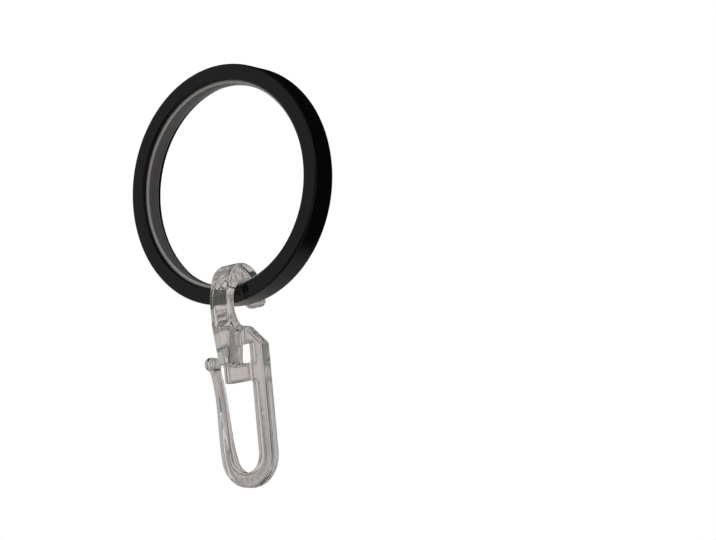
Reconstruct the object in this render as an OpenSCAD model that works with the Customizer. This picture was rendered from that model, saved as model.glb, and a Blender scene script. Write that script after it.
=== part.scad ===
// Curtain ring with a clip-on hook.
// A flat metal ring has a sliding insert in its inner groove, and a moulded hook
// hangs by its open eye from the lowest point of the ring.
// The origin is the centre of the ring. The rod runs along Y, the ring lies in
// the XZ plane and the hook hangs down along -Z. Sizes are in millimetres.

/* [Ring] */
// Outside diameter of the ring
ring_d = 38; // [32:0.5:60]
// Width of the band along the rod
band_w = 4.2; // [3.8:0.1:5]
// Radial thickness of the metal band
band_wall = 2.6; // [2.2:0.1:3.5]
// Rounding of the long edges of the band
band_edge_r = 0.45; // [0.2:0.05:0.5]

/* [Groove and sliding insert] */
// Thickness of the lip in front of the groove
lip_front = 0.7; // [0.5:0.05:0.9]
// Thickness of the lip behind the groove
lip_back = 0.9; // [0.5:0.05:1]
// Depth of the groove in the inner face of the band
groove_depth = 1; // [0.6:0.1:1.4]
// How far the insert stands out of the groove towards the rod
insert_rise = 0.55; // [0.4:0.05:0.8]
// Height of the crown across the face of the insert
insert_crown = 0.2; // [0.1:0.05:0.3]
// Running gap between the insert and the groove
insert_gap = 0.05; // [0.03:0.01:0.1]

/* [Hook eye] */
// Width of the eye, seen from the front
eye_w = 3.7; // [3:0.1:4.6]
// Wall of the eye in front of the ring
eye_wall_front = 1.8; // [1.2:0.05:2.4]
// Wall of the eye over the ring
eye_wall_top = 2.9; // [1.6:0.1:3.4]
// Wall of the eye behind the ring
eye_wall_back = 1.1; // [0.7:0.05:1.4]
// Radius of the top of the eye
eye_top_r = 4.2; // [3.6:0.1:4.6]
// Gap between the hanging eye and the ring
eye_gap = 0.15; // [0.1:0.01:0.3]
// How far the tip of the eye reaches below the ring
tip_drop = 0.35; // [0.2:0.05:1.6]
// Rounding across the end of the tip
tip_edge_r = 0.35; // [0.2:0.05:0.5]
// Chamfer on both corners of the tip, seen from behind
tip_chamfer = 0.6; // [0.3:0.1:1]
// Spare height of the mouth of the eye over the section of the ring
mouth_spare = 0.15; // [0.1:0.05:1]

/* [Hook shank] */
// Radius of the sweep at the back of the shank
shank_sweep_r = 3.8; // [2:0.1:4.2]
// How far the sweep reaches back over the top of the foot
shank_sweep = 1.35; // [0.6:0.05:1.8]
// Width of the foot of the shank
shank_foot_w = 2.1; // [1.4:0.1:2.8]
// How far the foot of the shank laps over the bar
shank_lap = 0.3; // [0.1:0.1:1]

/* [Hook plate] */
// Thickness of the plate, the leg, the bend and the tongue
plate_t = 2; // [1.6:0.1:2.6]
// How far the middle of the plate lies in front of the middle of the eye
plate_forward = 0.4; // [0:0.1:1]
// Height of the plate
plate_h = 8.45; // [7.5:0.05:11]
// Reach of the plate from the middle of the eye to the side of the leg
plate_right = 4.8; // [4.4:0.1:6]
// Reach of the plate from the middle of the eye to the side of the tongue
plate_left = 3.55; // [3:0.05:4.2]
// Height of the shoulder above the window
shoulder_h = 2.7; // [2.4:0.1:3.6]
// Chamfer on the corner of the shoulder
shoulder_chamfer = 3.1; // [1:0.1:3.4]
// Height of the bar below the window
bar_h = 2.7; // [1.8:0.05:3.4]
// How far the front of the bar lies behind the front of the leg
bar_inset = 0.25; // [0.1:0.05:0.5]
// Width of the window
window_w = 4; // [2.6:0.05:4.4]
// Rounding between the bar and the leg
bar_fillet = 0.6; // [0.3:0.1:1.2]

/* [Hook leg and bend] */
// Width of the leg
leg_w = 2.65; // [2:0.05:3.2]
// Height of the hook from the top of the plate to the bottom of the bend
hook_h = 24.9; // [21:0.05:32]
// Outer radius of the bend
bend_r = 5.1; // [4.8:0.1:6]
// Inner radius of the bend
bend_inner_r = 2.75; // [2.4:0.05:3.2]

/* [Hook tongue] */
// Thickness of the springy tongue just below its bead
tongue_tip_t = 0.95; // [0.7:0.05:1.3]
// Lean of the tongue where it leaves the bend, in degrees
tongue_lean = 12; // [6:1:16]
// Diameter of the bead on the end of the tongue
bead_d = 2.2; // [1.6:0.1:3]
// Depth of the middle of the bead below the top of the plate
bead_drop = 4.95; // [3.5:0.05:6]
// Gap between the bead and the side of the plate
bead_gap = 1.5; // [0.6:0.05:2]

/* [Hidden] */
$fn = 96;

// How far a cut runs past the face it opens
overrun = 0.2;
// Straight pieces in the curve of the tongue
tongue_steps = 28;
// Heights of the two inner control points of the tongue, as shares of its height
tongue_height_shares = [0.3, 0.67];

// Ring and groove
ring_r = ring_d / 2;
bore_r = ring_r - band_wall;
groove_r = bore_r + groove_depth;
groove_w = band_w - lip_front - lip_back;
groove_y = (lip_front - lip_back) / 2;

// Insert, crowned across its width
insert_w = groove_w - 2 * insert_gap;
insert_r = groove_r - insert_gap;
crown_r = bore_r - insert_rise;
crown_arc_r = (pow(insert_w / 2, 2) + pow(insert_crown, 2)) / (2 * insert_crown);

// The eye is the round hole that rests on the crown of the insert and clears the
// rounded edges of the band by the same gap, measured at the sides of the eye
function depth_at_side(r) = sqrt(pow(r, 2) - pow(eye_w / 2, 2));
edge_y = band_w / 2 - band_edge_r;
edge_drop = depth_at_side(bore_r) - depth_at_side(crown_r) + eye_gap + band_edge_r;
edge_reach = band_edge_r + eye_gap;
eye_r = (pow(edge_y, 2) + pow(edge_drop, 2) - pow(edge_reach, 2)) / (2 * (edge_drop - edge_reach));
eye_z = eye_gap - depth_at_side(crown_r) - eye_r;
eye_outer_r = eye_r + (eye_wall_front + eye_wall_back) / 2;
eye_outer_y = (eye_wall_back - eye_wall_front) / 2;
eye_top_z = eye_z + eye_r + eye_wall_top;

// Mouth of the eye, open towards the back and just high enough for the ring
tip_z = -ring_r - tip_drop;
plate_top_z = tip_z - band_wall - insert_rise - mouth_spare;

// Shank
shank_front_y = -eye_r - eye_wall_front;
sweep_h = sqrt(pow(shank_sweep_r, 2) - pow(shank_sweep_r - shank_sweep, 2));
bar_top_z = plate_top_z - plate_h + bar_h;
foot_z = bar_top_z - shank_lap;

// Plate, leg and bend
bar_z = plate_top_z - plate_h;
window_h = plate_h - shoulder_h - bar_h;
leg_x = plate_right - leg_w;
bend_x = plate_right - bend_r;
bend_z = plate_top_z - hook_h + bend_r;
bend_inner_x = leg_x - bend_inner_r;

// Tongue: from the middle of the bend's wall to the bead
tongue_root_t = 2 * (bend_r - bend_inner_r) - leg_w;
tongue_root_r = bend_r - tongue_root_t / 2;
tongue_root = [bend_x - tongue_root_r * cos(tongue_lean), bend_z - tongue_root_r * sin(tongue_lean)];
bead = [-plate_left - bead_gap - bead_d / 2, plate_top_z - bead_drop];
tongue_h = bead[1] - tongue_root[1];
tongue_low = tongue_root + tongue_h * tongue_height_shares[0] * [-tan(tongue_lean), 1];
tongue_high = [tongue_root[0], tongue_root[1] + tongue_h * tongue_height_shares[1]];

// Point on the tongue's middle line and its direction there, for t from 0 to 1
function tongue_point(t) =
    pow(1 - t, 3) * tongue_root + 3 * pow(1 - t, 2) * t * tongue_low
    + 3 * (1 - t) * pow(t, 2) * tongue_high + pow(t, 3) * bead;
function tongue_dir(t) =
    3 * pow(1 - t, 2) * (tongue_low - tongue_root) + 6 * (1 - t) * t * (tongue_high - tongue_low)
    + 3 * pow(t, 2) * (bead - tongue_high);
// The tongue thins quickly above its root, so that it can spring
function tongue_half(t) = (tongue_tip_t + (tongue_root_t - tongue_tip_t) * pow(1 - t, 2)) / 2;
function tongue_side(t, side) =
    tongue_point(t) + side * tongue_half(t) * [tongue_dir(t)[1], -tongue_dir(t)[0]] / norm(tongue_dir(t));

// Extrudes a YZ outline along X, centred
module along_x(w) {
    rotate([90, 0, 90])
        linear_extrude(w, center = true)
            children();
}

// Extrudes an XZ outline along Y, centred
module along_y(w) {
    rotate([90, 0, 0])
        linear_extrude(w, center = true)
            children();
}

// Turns an outline of radius and Y about the ring's axis
module around_rod() {
    rotate([-90, 0, 0])
        rotate_extrude($fn = 180)
            children();
}

// Rectangle with rounded corners, lower left corner at the origin
module rounded_box(size, r) {
    translate([r, 0])
        square([size[0] - 2 * r, size[1]]);
    translate([0, r])
        square([size[0], size[1] - 2 * r]);
    for (x = [r, size[0] - r], y = [r, size[1] - r])
        translate([x, y])
            circle(r);
}

// Concave fillet in the corner at the origin, towards +x and +y
module corner_fillet(r) {
    difference() {
        translate([-overrun, -overrun])
            square(r + overrun);
        translate([r, r])
            circle(r);
    }
}

// Flat band with a groove in its inner face
module ring() {
    color("#161616")
        around_rod()
            difference() {
                translate([bore_r, -band_w / 2])
                    rounded_box([band_wall, band_w], band_edge_r);
                translate([bore_r - overrun, groove_y - groove_w / 2])
                    square([groove_depth + overrun, groove_w]);
            }
}

// Glide strip in the groove, crowned towards the rod
module insert() {
    color("#6b6b6b")
        around_rod()
            translate([0, groove_y])
                intersection() {
                    translate([crown_r, -insert_w / 2])
                        square([insert_r - crown_r, insert_w]);
                    translate([crown_r + crown_arc_r, 0])
                        circle(crown_arc_r);
                }
}

// Side outline of the crook: the open eye, its tip and the shank below it
module crook_side() {
    difference() {
        union() {
            intersection() {
                hull() {
                    translate([eye_outer_y, eye_z])
                        circle(eye_outer_r);
                    translate([eye_outer_y, eye_top_z - eye_top_r])
                        circle(eye_top_r);
                }
                translate([shank_front_y, tip_z + tip_edge_r])
                    square([2 * eye_outer_r, eye_top_z - tip_z - tip_edge_r]);
            }
            translate([shank_front_y, plate_top_z])
                square([eye_wall_front, eye_z - plate_top_z]);
            translate([eye_r, tip_z + tip_edge_r])
                square([eye_wall_back, eye_z - tip_z - tip_edge_r]);
        }
        translate([0, eye_z])
            circle(eye_r);
        translate([-eye_r, tip_z])
            square([2 * eye_r, eye_z - tip_z]);
    }
    hull()
        for (y = [eye_r + tip_edge_r, eye_r + eye_wall_back - tip_edge_r])
            translate([y, tip_z + tip_edge_r])
                circle(tip_edge_r);
    difference() {
        translate([-eye_r - overrun, plate_top_z])
            square([overrun + shank_sweep, sweep_h]);
        translate([shank_sweep_r - eye_r, plate_top_z + sweep_h])
            circle(shank_sweep_r);
    }
    translate([shank_front_y, foot_z])
        square([-plate_forward - shank_front_y, plate_top_z - foot_z]);
}

// Front outline of the crook: as wide as the eye, then tapered down to its foot
module crook_front() {
    polygon([
        [-eye_w / 2, eye_top_z],
        [eye_w / 2, eye_top_z],
        [eye_w / 2, plate_top_z],
        [shank_foot_w / 2, foot_z],
        [-shank_foot_w / 2, foot_z],
        [-eye_w / 2, plate_top_z]
    ]);
}

// The crook is what its side outline and its front outline have in common, with
// the corners of its tip cut off
module crook() {
    difference() {
        intersection() {
            along_x(eye_w)
                crook_side();
            along_y(2 * (eye_r + max(eye_wall_front, eye_wall_back) + overrun))
                crook_front();
        }
        translate([0, eye_r + eye_wall_back / 2, 0])
            along_y(eye_wall_back + 2 * overrun)
                for (side = [-1, 1])
                    translate([side * eye_w / 2, tip_z])
                        circle(tip_chamfer, $fn = 4);
    }
}

// Plate with its chamfered shoulder, without the window
module plate_outline() {
    polygon([
        [-plate_left, plate_top_z],
        [plate_right - shoulder_chamfer, plate_top_z],
        [plate_right, plate_top_z - shoulder_chamfer],
        [plate_right, bar_z],
        [-plate_left, bar_z]
    ]);
    translate([leg_x, bar_z])
        mirror([1, 1])
            corner_fillet(bar_fillet);
}

// The plate is as thick as the leg, but the front of its bar lies a little further back
module plate() {
    difference() {
        along_y(plate_t)
            plate_outline();
        translate([0, -plate_t / 2, 0])
            along_y(2 * bar_inset)
                translate([-plate_left - overrun, bar_z - bar_fillet - overrun])
                    square([plate_left + overrun + leg_x, bar_h + bar_fillet + overrun]);
    }
}

// Straight leg and round bend
module leg_outline() {
    translate([leg_x, bend_z])
        square([leg_w, bar_z - bend_z + bar_fillet]);
    difference() {
        intersection() {
            translate([bend_x, bend_z])
                circle(bend_r);
            translate([bend_x - bend_r, bend_z - bend_r])
                square([2 * bend_r, bend_r]);
        }
        translate([bend_inner_x, bend_z])
            circle(bend_inner_r);
    }
}

// Springy tongue with a bead on its end
module tongue_outline() {
    steps = [for (i = [0:tongue_steps]) i / tongue_steps];
    polygon(concat(
        [for (t = steps) tongue_side(t, -1)],
        [for (t = steps) tongue_side(1 - t, 1)]
    ));
    translate(bead)
        circle(d = bead_d);
}

// One-piece moulded hook: crook, plate, leg, bend and tongue
module hook() {
    color("#dfe2e0", 0.55)
        difference() {
            union() {
                crook();
                translate([0, -plate_forward, 0]) {
                    plate();
                    along_y(plate_t) {
                        leg_outline();
                        tongue_outline();
                    }
                }
            }
            translate([0, -plate_forward, 0])
                along_y(plate_t + 2 * overrun)
                    translate([leg_x - window_w, bar_top_z])
                        square([window_w, window_h]);
        }
}

ring();
insert();
hook();
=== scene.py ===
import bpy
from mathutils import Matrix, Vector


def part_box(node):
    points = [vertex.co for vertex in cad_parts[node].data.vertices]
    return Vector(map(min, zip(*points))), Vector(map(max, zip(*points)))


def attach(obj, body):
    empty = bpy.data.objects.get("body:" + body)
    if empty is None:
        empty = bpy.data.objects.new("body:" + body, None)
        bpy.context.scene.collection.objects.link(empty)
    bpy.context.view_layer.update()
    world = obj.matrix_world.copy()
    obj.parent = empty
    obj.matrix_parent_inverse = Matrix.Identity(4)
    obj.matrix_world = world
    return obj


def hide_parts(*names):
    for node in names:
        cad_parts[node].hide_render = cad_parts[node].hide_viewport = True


bl_info = {
    "name": "Curtain ring with a clip-on hook",
    "version": (1, 0, 0),
    "blender": (4, 5, 0),
    "location": "View3D > Sidebar > Curtain ring",
    "description": "Dresses the curtain ring: lacquered band, glide insert, moulded hook and a studio",
    "category": "Object",
}

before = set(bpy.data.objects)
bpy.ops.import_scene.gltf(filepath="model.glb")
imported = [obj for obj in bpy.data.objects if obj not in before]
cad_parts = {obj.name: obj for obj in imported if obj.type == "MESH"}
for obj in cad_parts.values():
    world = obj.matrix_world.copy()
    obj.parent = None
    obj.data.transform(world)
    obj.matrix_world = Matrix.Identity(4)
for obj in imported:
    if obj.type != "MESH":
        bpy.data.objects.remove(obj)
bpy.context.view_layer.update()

from math import cos, radians

import bmesh
import bpy
from bpy.props import FloatProperty, IntProperty, PointerProperty, StringProperty
from mathutils import Vector

MM = 0.001
RING_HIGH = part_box("ring")[1]
INSERT_LOW, INSERT_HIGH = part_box("insert")

# Band along the insert's edges over which its colour turns from the plastic's to a lighter one, a
# painted highlight where light gathers in the thin plastic
EDGE_HIGHLIGHT_START = 0.3 * MM
EDGE_HIGHLIGHT_END = 0.05 * MM
# Straight pieces across the crown of the insert
CROWN_STEPS = 10
# Vertices of the hook's solid that are nearer than this are one vertex
MERGE_DISTANCE = 0.003 * MM

FLOOR_RADIUS = 3.0
FLOOR_SEGMENTS = 96

# Lamps: name, place, width and height in metres, power in watts
LAMPS = [
    ("key", (-0.35, -0.35, 0.45), (0.3, 0.3), 1.6),
    ("fill", (0.45, -0.3, 0.15), (0.25, 0.35), 0.7),
    ("top", (0.05, 0.15, 0.5), (0.35, 0.25), 0.8),
]
LAMP_TARGET = Vector((0, 0, -12 * MM))

# The camera's place and turn at the photograph's viewing angle. The photograph is 716 pixels
# wide, its lens was found in pixels, and the sensor is in millimetres.
CAMERA_PLACE = (197.18 * MM, -236.97 * MM, -66.58 * MM)
CAMERA_TURN = (radians(99.477), radians(5.625), radians(37.194))
CAMERA_CLIP = (0.01, 10)
PHOTO_WIDTH = 716
PHOTO_LENS = 2000
SENSOR = 36.0

# Light and dark patches round the part: direction, angle to which a patch is full, angle at
# which it ends, colour. The clear plastic shows the first list, and surfaces mirror the second.
SHOWN = [
    ((0, 0, 1), 20, 60, "#ffffff"),
    ((0, 0, -1), 25, 60, "#f6f4f3"),
    ((0, -1, 0), 20, 50, "#ffffff"),
    ((-1, 0, 0), 15, 40, "#f7f5f3"),
    ((0, 1, 0), 14, 35, "#ffffff"),
    ((1, 0, 0), 15, 40, "#3b3946"),
    ((0.62, 0.75, 0.2), 14, 30, "#d1d1cf"),
]
MIRRORED = [
    ((0, 0, 1), 20, 75, "#3a3a3a"),
    ((0, 0, -1), 35, 80, "#7e7d7c"),
    ((-0.62, -0.75, 0.22), 30, 60, "#979694"),
    ((0.35, -0.6, -0.7), 18, 34, "#0e0e0e"),
    ((0.62, -0.75, -0.1), 10, 26, "#2a2a2a"),
    ((0.62, 0.75, 0.2), 45, 62, "#060606"),
    ((-0.3, 0.78, 0.55), 22, 38, "#0c0c0c"),
]


# Sizes and colours


class BandSettings(bpy.types.PropertyGroup):
    wall: FloatProperty(
        name="Wall", description="Radial thickness of the metal band",
        default=2.6 * MM, unit="LENGTH", precision=5)
    edge: FloatProperty(
        name="Front edge rounding", description="Rounding of the band's front edges",
        default=0.45 * MM, unit="LENGTH", precision=5)
    edge_back: FloatProperty(
        name="Back edge rounding", description="Rounding of the band's back edges",
        default=0.15 * MM, unit="LENGTH", precision=5)
    lip_edge: FloatProperty(
        name="Lip rounding", description="Rounding of the lips at the mouth of the groove",
        default=0.08 * MM, unit="LENGTH", precision=5)
    groove: FloatProperty(
        name="Groove depth", description="Depth of the groove in the inner face",
        default=1 * MM, unit="LENGTH", precision=5)
    lip_front: FloatProperty(
        name="Front lip", description="Thickness of the lip in front of the groove",
        default=0.7 * MM, unit="LENGTH", precision=5)
    lip_back: FloatProperty(
        name="Back lip", description="Thickness of the lip behind the groove",
        default=0.9 * MM, unit="LENGTH", precision=5)
    steps: IntProperty(
        name="Steps", description="Straight pieces round the band", default=360, min=48)
    lacquer: StringProperty(
        name="Lacquer", description="Colour of the lacquer, sRGB hex", default="#070708")


class InsertSettings(bpy.types.PropertyGroup):
    crown: FloatProperty(
        name="Crown", description="Height of the crown across the face of the insert",
        default=0.2 * MM, unit="LENGTH", precision=5)
    thickness: FloatProperty(
        name="Thickness", description="Thickness of the insert at its crown",
        default=1.5 * MM, unit="LENGTH", precision=5)
    edge: FloatProperty(
        name="Edge rounding", description="Rounding of the edges of the insert",
        default=0.12 * MM, unit="LENGTH", precision=5)
    plastic: StringProperty(
        name="Plastic", description="Colour of the glide insert, sRGB hex", default="#4e4d4c")
    # Colour of the painted highlight along the insert's edges, where light gathers in the thin plastic
    edge_highlight: StringProperty(
        name="Rim", description="Colour of the insert's edges, sRGB hex", default="#8d8c8b")


class HookSettings(bpy.types.PropertyGroup):
    grain: FloatProperty(
        name="Grain", description="Distance between the vertices of the moulded surface",
        default=0.11 * MM, unit="LENGTH", precision=5)
    melt: IntProperty(
        name="Melt", description="How far the mould rounds the edges, in smoothing passes",
        default=44, min=1)
    plastic: StringProperty(
        name="Plastic", description="Tint of the clear plastic, sRGB hex", default="#dbd9d7")


class StudioSettings(bpy.types.PropertyGroup):
    floor_z: FloatProperty(
        name="Floor", description="Height of the floor below the hanging part",
        default=-140 * MM, unit="LENGTH", precision=4)
    floor_fade: FloatProperty(
        name="Floor fade", description="How far out the floor has faded to white",
        default=750 * MM, unit="LENGTH", precision=4)
    floor: StringProperty(
        name="Floor colour", description="Colour of the floor, sRGB hex", default="#f2f1ef")
    room: StringProperty(
        name="Room colour", description="Light parts of the walls, sRGB hex", default="#e0d9d6")
    room_dark: StringProperty(
        name="Dark room colour", description="Dark parts of the walls, sRGB hex",
        default="#574f4c")
    mirrored: StringProperty(
        name="Mirrored room", description="Walls as the lacquer mirrors them, sRGB hex",
        default="#9a9693")


# Small tools


def linear(hex_colour):
    """Turns an sRGB hex colour to linear RGBA."""
    digits = hex_colour.lstrip("#")
    levels = [int(digits[i:i + 2], 16) / 255 for i in (0, 2, 4)]
    return (*(c / 12.92 if c <= 0.04045 else ((c + 0.055) / 1.055) ** 2.4 for c in levels), 1.0)


def add_node(tree, kind, links=(), **settings):
    """Adds a node. A setting is an input's name or the node's own attribute, and links are
    (socket, input) pairs. Underscores in an input's name stand for spaces."""
    node = tree.nodes.new(kind)
    for key, value in settings.items():
        name = key.replace("_", " ")
        if name in node.inputs:
            node.inputs[name].default_value = value
        else:
            setattr(node, key, value)
    for socket, key in links:
        tree.links.new(socket, node.inputs[key])
    return node


def colour_mix(tree, factor, first, second):
    """Mixes two colours by a factor. A colour is a socket or linear RGBA."""
    mix = add_node(tree, "ShaderNodeMix", [(factor, 0)], data_type="RGBA")
    for index, colour in ((6, first), (7, second)):
        if isinstance(colour, bpy.types.NodeSocket):
            tree.links.new(colour, mix.inputs[index])
        else:
            mix.inputs[index].default_value = colour
    return mix.outputs[2]


def new_material(name):
    """A material with an empty node tree and its output."""
    material = bpy.data.materials.new(name)
    material.use_nodes = True
    material.node_tree.nodes.clear()
    return material, material.node_tree, material.node_tree.nodes.new("ShaderNodeOutputMaterial")


def finish_mesh(bm, name, material, body, replaced):
    """Turns a bmesh into a smooth piece that rides on a body in place of a CAD node."""
    bmesh.ops.recalc_face_normals(bm, faces=bm.faces)
    for face in bm.faces:
        face.smooth = True
    mesh = bpy.data.meshes.new(name)
    bm.to_mesh(mesh)
    bm.free()
    mesh.materials.append(material)
    piece = bpy.data.objects.new(name, mesh)
    bpy.context.scene.collection.objects.link(piece)
    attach(piece, body)
    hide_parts(replaced)
    return piece


def shade_flats_evenly(piece):
    """Keeps the broad faces of a turned piece flat to the eye beside their rounded edges."""
    weighted = piece.modifiers.new("Weighted normals", "WEIGHTED_NORMAL")
    weighted.keep_sharp = False
    weighted.weight = 50


def turn_profile(bm, points, rounded, steps):
    """Rounds some corners of a closed profile in the XY plane and turns it about Y."""
    corners = [bm.verts.new((x, y, 0)) for x, y in points]
    bm.faces.new(corners)
    for size, segments, indices in rounded:
        bmesh.ops.bevel(
            bm, geom=[corners[i] for i in indices], offset=size, offset_type="OFFSET",
            segments=segments, profile=0.5, affect="VERTICES", clamp_overlap=True, material=-1)
    bmesh.ops.delete(bm, geom=list(bm.faces), context="FACES_ONLY")
    bmesh.ops.spin(
        bm, geom=list(bm.verts) + list(bm.edges), cent=(0, 0, 0), axis=(0, 1, 0),
        angle=radians(360), steps=steps, use_merge=True)


# Materials


def gloss_black_lacquer(colour):
    """Stoved black lacquer on a metal band: near-black, with sharp reflections that the flow
    of the lacquer makes a little uneven."""
    flow_size, handling_size = 2.2 * MM, 5 * MM
    material, tree, out = new_material("gloss_black_lacquer")
    place = add_node(tree, "ShaderNodeTexCoord")
    flow = add_node(
        tree, "ShaderNodeTexNoise", [(place.outputs["Object"], "Vector")],
        Scale=1 / flow_size, Detail=2.0, Roughness=0.5)
    bump = add_node(
        tree, "ShaderNodeBump", [(flow.outputs["Fac"], "Height")],
        Strength=0.06, Distance=0.02 * MM)
    # Handling leaves the gloss a little duller in places
    handling = add_node(
        tree, "ShaderNodeTexNoise", [(place.outputs["Object"], "Vector")],
        Scale=1 / handling_size, Detail=4.0, Roughness=0.6)
    rough = add_node(
        tree, "ShaderNodeMapRange", [(handling.outputs["Fac"], "Value")],
        From_Min=0.3, From_Max=0.7, To_Min=0.10, To_Max=0.2)
    lacquer = add_node(
        tree, "ShaderNodeBsdfPrincipled",
        [(bump.outputs["Normal"], "Normal"), (bump.outputs["Normal"], "Coat Normal"),
         (rough.outputs["Result"], "Roughness")],
        Base_Color=linear(colour), IOR=1.5, Specular_IOR_Level=0.0,
        Coat_Weight=1.0, Coat_Roughness=0.03, Coat_IOR=1.5)
    tree.links.new(lacquer.outputs["BSDF"], out.inputs["Surface"])
    return material


def smoky_glide_plastic(colour, edge_highlight_colour):
    """Extruded glide strip of translucent grey plastic: satin, with a painted highlight that lightens
    its colour towards its thin edges, where light gathers in them.
    """
    grain_size = 1.2 * MM
    middle = (INSERT_LOW.y + INSERT_HIGH.y) / 2
    material, tree, out = new_material("smoky_glide_plastic")
    place = add_node(tree, "ShaderNodeTexCoord")
    grain = add_node(
        tree, "ShaderNodeTexNoise", [(place.outputs["Object"], "Vector")],
        Scale=1 / grain_size, Detail=3.0, Roughness=0.6)
    satin = add_node(
        tree, "ShaderNodeMapRange", [(grain.outputs["Fac"], "Value")],
        From_Min=0.3, From_Max=0.7, To_Min=0.1, To_Max=0.18)
    axes = add_node(tree, "ShaderNodeSeparateXYZ", [(place.outputs["Object"], "Vector")])
    across = add_node(
        tree, "ShaderNodeMath", [(axes.outputs["Y"], 0)], operation="SUBTRACT")
    across.inputs[1].default_value = middle
    away = add_node(
        tree, "ShaderNodeMath", [(across.outputs["Value"], 0)], operation="ABSOLUTE")
    # Painted highlight: the colour turns lighter towards both edges of the insert
    edge_highlight = add_node(
        tree, "ShaderNodeMapRange", [(away.outputs["Value"], "Value")],
        interpolation_type="SMOOTHSTEP",
        From_Min=INSERT_HIGH.y - middle - EDGE_HIGHLIGHT_START, From_Max=INSERT_HIGH.y - middle - EDGE_HIGHLIGHT_END)
    tint = colour_mix(tree, edge_highlight.outputs["Result"], linear(colour), linear(edge_highlight_colour))
    bump = add_node(
        tree, "ShaderNodeBump", [(grain.outputs["Fac"], "Height")],
        Strength=0.1, Distance=0.02 * MM)
    plastic = add_node(
        tree, "ShaderNodeBsdfPrincipled",
        [(tint, "Base Color"), (bump.outputs["Normal"], "Normal"),
         (satin.outputs["Result"], "Roughness")],
        IOR=1.49, Subsurface_Weight=0.3, Subsurface_Scale=0.4 * MM, Transmission_Weight=0.1)
    tree.links.new(plastic.outputs["BSDF"], out.inputs["Surface"])
    return material


def clear_moulded_plastic(colour):
    """Clear injection-moulded plastic: glassy, with a faint grey tint and the slight waves
    that the mould and the shrinkage of the plastic leave."""
    # Waves along the height of the hook, and finer ones across it
    waves = [((1, 1, 0.2), 0.8 * MM), ((0.15, 0.15, 1), 0.45 * MM)]
    material, tree, out = new_material("clear_moulded_plastic")
    place = add_node(tree, "ShaderNodeTexCoord")
    heights = []
    for index, (stretch, size) in enumerate(waves):
        along = add_node(
            tree, "ShaderNodeMapping", [(place.outputs["Object"], "Vector")], Scale=stretch)
        wave = add_node(
            tree, "ShaderNodeTexNoise", [(along.outputs["Vector"], "Vector")],
            Scale=1 / size, Detail=2.0, Roughness=0.5)
        heights.append((wave.outputs["Fac"], index))
    relief = add_node(tree, "ShaderNodeMath", heights, operation="ADD")
    bump = add_node(
        tree, "ShaderNodeBump", [(relief.outputs["Value"], "Height")],
        Strength=0.3, Distance=0.05 * MM)
    plastic = add_node(
        tree, "ShaderNodeBsdfPrincipled", [(bump.outputs["Normal"], "Normal")],
        Base_Color=linear(colour), Roughness=0.04, IOR=1.5, Transmission_Weight=0.94)
    tree.links.new(plastic.outputs["BSDF"], out.inputs["Surface"])
    return material


# Pieces


class CURTAINRING_OT_band(bpy.types.Operator):
    """Makes the lacquered metal band with its groove"""
    bl_idname = "curtain_ring.band"
    bl_label = "Lacquered band"

    def execute(self, context):
        s = context.scene.curtain_band
        outer, half = RING_HIGH.x, RING_HIGH.y
        bore = outer - s.wall
        front, back = -half + s.lip_front, half - s.lip_back
        bm = bmesh.new()
        turn_profile(
            bm,
            [(bore, -half), (outer, -half), (outer, half), (bore, half), (bore, back),
             (bore + s.groove, back), (bore + s.groove, front), (bore, front)],
            [(s.edge, 5, (0, 1)), (s.edge_back, 3, (2, 3)), (s.lip_edge, 2, (4, 7))],
            s.steps)
        piece = finish_mesh(bm, "band", gloss_black_lacquer(s.lacquer), "ring", "ring")
        shade_flats_evenly(piece)
        return {"FINISHED"}


class CURTAINRING_OT_insert(bpy.types.Operator):
    """Makes the crowned glide insert"""
    bl_idname = "curtain_ring.insert"
    bl_label = "Glide insert"

    def execute(self, context):
        s = context.scene.curtain_insert
        outer = INSERT_HIGH.x
        front, back = INSERT_LOW.y, INSERT_HIGH.y
        middle, half = (front + back) / 2, (back - front) / 2
        crown = outer - s.thickness
        radius = (half ** 2 + s.crown ** 2) / (2 * s.crown)
        bm = bmesh.new()
        first = bm.verts.new((crown + s.crown, front, 0))
        centre = Vector((crown + radius, middle, 0))
        angle = 2 * Vector((-radius, 0, 0)).angle(first.co - centre)
        bmesh.ops.spin(
            bm, geom=[first], cent=centre, axis=(0, 0, -1), angle=angle, steps=CROWN_STEPS)
        points = [(v.co.x, v.co.y) for v in bm.verts]
        bm.clear()
        turn_profile(
            bm, [*points, (outer, back), (outer, front)],
            [(s.edge, 3, (0, len(points) - 1))], context.scene.curtain_band.steps)
        plastic = smoky_glide_plastic(s.plastic, s.edge_highlight)
        piece = finish_mesh(bm, "glide_insert", plastic, "insert", "insert")
        shade_flats_evenly(piece)
        return {"FINISHED"}


class CURTAINRING_OT_hook(bpy.types.Operator):
    """Makes the clear moulded hook with its rounded edges"""
    bl_idname = "curtain_ring.hook"
    bl_label = "Moulded hook"

    def execute(self, context):
        s = context.scene.curtain_hook
        bm = bmesh.new()
        bm.from_mesh(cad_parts["hook"].data)
        bmesh.ops.remove_doubles(bm, verts=bm.verts, dist=MERGE_DISTANCE)
        piece = finish_mesh(
            bm, "moulded_hook", clear_moulded_plastic(s.plastic), "hook", "hook")
        skin = piece.modifiers.new("Moulded skin", "REMESH")
        skin.mode, skin.voxel_size, skin.use_smooth_shade = "VOXEL", s.grain, True
        rounding = piece.modifiers.new("Rounded edges", "SMOOTH")
        rounding.factor, rounding.iterations = 0.5, s.melt
        return {"FINISHED"}


# Studio


def patchwork(tree, direction, tone, patches):
    """The colour that a ray meets, with soft round patches over an even tone."""
    for axis, full, end, colour in patches:
        facing = add_node(tree, "ShaderNodeVectorMath", [(direction, 0)], operation="DOT_PRODUCT")
        facing.inputs[1].default_value = Vector(axis).normalized()
        patch = add_node(
            tree, "ShaderNodeMapRange", [(facing.outputs["Value"], "Value")],
            interpolation_type="SMOOTHSTEP",
            From_Min=cos(radians(end)), From_Max=cos(radians(full)))
        tone = colour_mix(tree, patch.outputs["Result"], tone, linear(colour))
    return tone


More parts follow.
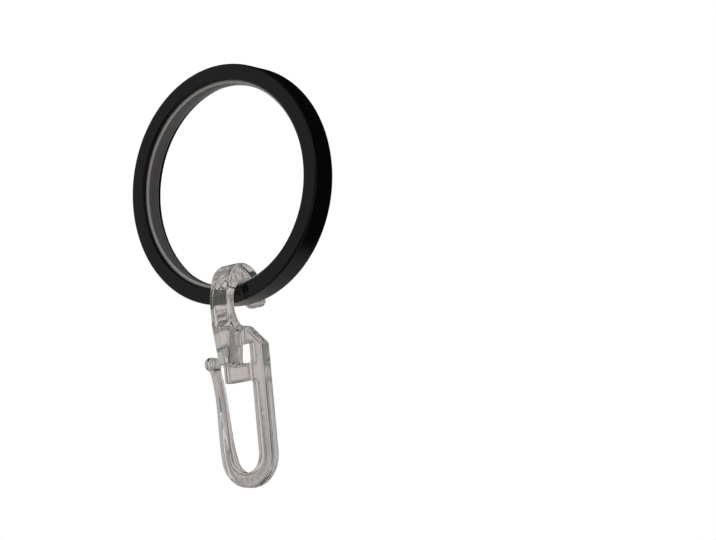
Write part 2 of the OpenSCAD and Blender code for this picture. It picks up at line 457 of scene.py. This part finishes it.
def pale_studio_floor(colour, fade_end):
    """Matt painted floor, which the camera sees fade to white far from the part."""
    material, tree, out = new_material("pale_studio_floor")
    paint = add_node(tree, "ShaderNodeBsdfPrincipled", Base_Color=linear(colour), Roughness=0.8)
    place = add_node(tree, "ShaderNodeTexCoord")
    reach = add_node(
        tree, "ShaderNodeVectorMath", [(place.outputs["Object"], 0)], operation="LENGTH")
    fade = add_node(
        tree, "ShaderNodeMapRange", [(reach.outputs["Value"], "Value")],
        interpolation_type="SMOOTHSTEP", From_Min=fade_end / 3, From_Max=fade_end)
    ray = add_node(tree, "ShaderNodeLightPath")
    far = add_node(
        tree, "ShaderNodeMath",
        [(fade.outputs["Result"], 0), (ray.outputs["Is Camera Ray"], 1)], operation="MULTIPLY")
    white = add_node(tree, "ShaderNodeEmission", Color=(1, 1, 1, 1), Strength=1.0)
    seen = add_node(
        tree, "ShaderNodeMixShader",
        [(far.outputs["Value"], 0), (paint.outputs["BSDF"], 1), (white.outputs["Emission"], 2)])
    tree.links.new(seen.outputs["Shader"], out.inputs["Surface"])
    return material


def add_floor(s):
    """Lays a round floor under the hanging part."""
    bm = bmesh.new()
    bmesh.ops.create_circle(bm, cap_ends=True, radius=FLOOR_RADIUS, segments=FLOOR_SEGMENTS)
    bmesh.ops.translate(bm, vec=(0, 0, s.floor_z), verts=bm.verts)
    mesh = bpy.data.meshes.new("floor")
    bm.to_mesh(mesh)
    bm.free()
    mesh.materials.append(pale_studio_floor(s.floor, s.floor_fade))
    floor = bpy.data.objects.new("floor", mesh)
    bpy.context.scene.collection.objects.link(floor)
    floor.visible_glossy = floor.visible_transmission = False


def add_world(s):
    """Makes the room: white to the camera, and patches of light and dark to the part."""
    world = bpy.data.worlds.new("studio")
    world.use_nodes = True
    tree = world.node_tree
    tree.nodes.clear()
    ray = add_node(tree, "ShaderNodeLightPath")
    # A ray that is bent through the plastic counts as glossy too, so it is taken off
    mirror = add_node(
        tree, "ShaderNodeMath",
        [(ray.outputs["Is Glossy Ray"], 0), (ray.outputs["Is Transmission Ray"], 1)],
        operation="SUBTRACT").outputs["Value"]
    direction = add_node(tree, "ShaderNodeTexCoord").outputs["Generated"]
    # Soft clouds some 3 degrees across, which the waves of the plastic draw into streaks
    cloud = add_node(tree, "ShaderNodeTexNoise", [(direction, "Vector")], Scale=18.0, Detail=2.0)
    depth = add_node(
        tree, "ShaderNodeMapRange", [(cloud.outputs["Fac"], "Value")],
        From_Min=0.35, From_Max=0.65)
    even = colour_mix(tree, depth.outputs["Result"], linear(s.room_dark), linear(s.room))
    tone = colour_mix(
        tree, mirror, patchwork(tree, direction, even, SHOWN),
        patchwork(tree, direction, linear(s.mirrored), MIRRORED))
    room = add_node(tree, "ShaderNodeBackground", [(tone, "Color")], Strength=1.0)
    white = add_node(tree, "ShaderNodeBackground", Color=(1, 1, 1, 1), Strength=1.0)
    seen = add_node(
        tree, "ShaderNodeMixShader",
        [(ray.outputs["Is Camera Ray"], 0), (room.outputs[0], 1), (white.outputs[0], 2)])
    add_node(tree, "ShaderNodeOutputWorld", [(seen.outputs[0], "Surface")])
    bpy.context.scene.world = world


def add_lamp(name, place, size, power):
    """Hangs a soft area lamp that faces the part and that nothing mirrors."""
    light = bpy.data.lights.new(name, "AREA")
    light.shape, light.size, light.size_y = "RECTANGLE", *size
    light.energy = power
    lamp = bpy.data.objects.new(name, light)
    lamp.location = place
    lamp.rotation_euler = (LAMP_TARGET - Vector(place)).to_track_quat("-Z", "Y").to_euler()
    lamp.visible_camera = lamp.visible_glossy = lamp.visible_transmission = False
    bpy.context.scene.collection.objects.link(lamp)


def add_camera():
    """Stands the camera at the photograph's viewing angle."""
    data = bpy.data.cameras.new("camera")
    data.sensor_width = SENSOR
    data.lens = PHOTO_LENS / PHOTO_WIDTH * SENSOR
    data.clip_start, data.clip_end = CAMERA_CLIP
    camera = bpy.data.objects.new("camera", data)
    camera.location = CAMERA_PLACE
    camera.rotation_euler = CAMERA_TURN
    bpy.context.scene.collection.objects.link(camera)
    bpy.context.scene.camera = camera


class CURTAINRING_OT_studio(bpy.types.Operator):
    """Makes the floor, the world, the lamps and the camera"""
    bl_idname = "curtain_ring.studio"
    bl_label = "Studio"

    def execute(self, context):
        s = context.scene.curtain_studio
        context.scene.view_settings.view_transform = "Standard"
        add_floor(s)
        add_world(s)
        for lamp in LAMPS:
            add_lamp(*lamp)
        add_camera()
        return {"FINISHED"}


class CURTAINRING_PT_panel(bpy.types.Panel):
    bl_label = "Curtain ring"
    bl_idname = "CURTAINRING_PT_panel"
    bl_space_type = "VIEW_3D"
    bl_region_type = "UI"
    bl_category = "Curtain ring"

    def draw(self, context):
        for operator, settings in STEPS:
            box = self.layout.box()
            box.operator(operator)
            group = getattr(context.scene, settings)
            for name in group.bl_rna.properties.keys():
                if name not in ("rna_type", "name"):
                    box.prop(group, name)


SETTINGS = {
    "curtain_band": BandSettings,
    "curtain_insert": InsertSettings,
    "curtain_hook": HookSettings,
    "curtain_studio": StudioSettings,
}
STEPS = [
    ("curtain_ring.band", "curtain_band"),
    ("curtain_ring.insert", "curtain_insert"),
    ("curtain_ring.hook", "curtain_hook"),
    ("curtain_ring.studio", "curtain_studio"),
]
CLASSES = [
    *SETTINGS.values(),
    CURTAINRING_OT_band,
    CURTAINRING_OT_insert,
    CURTAINRING_OT_hook,
    CURTAINRING_OT_studio,
    CURTAINRING_PT_panel,
]


def register():
    for cls in CLASSES:
        bpy.utils.register_class(cls)
    for name, group in SETTINGS.items():
        setattr(bpy.types.Scene, name, PointerProperty(type=group))


def unregister():
    for name in SETTINGS:
        delattr(bpy.types.Scene, name)
    for cls in reversed(CLASSES):
        bpy.utils.unregister_class(cls)


def main():
    register()
    bpy.ops.curtain_ring.band()
    bpy.ops.curtain_ring.insert()
    bpy.ops.curtain_ring.hook()
    bpy.ops.curtain_ring.studio()


if __name__ == "__main__":
    main()
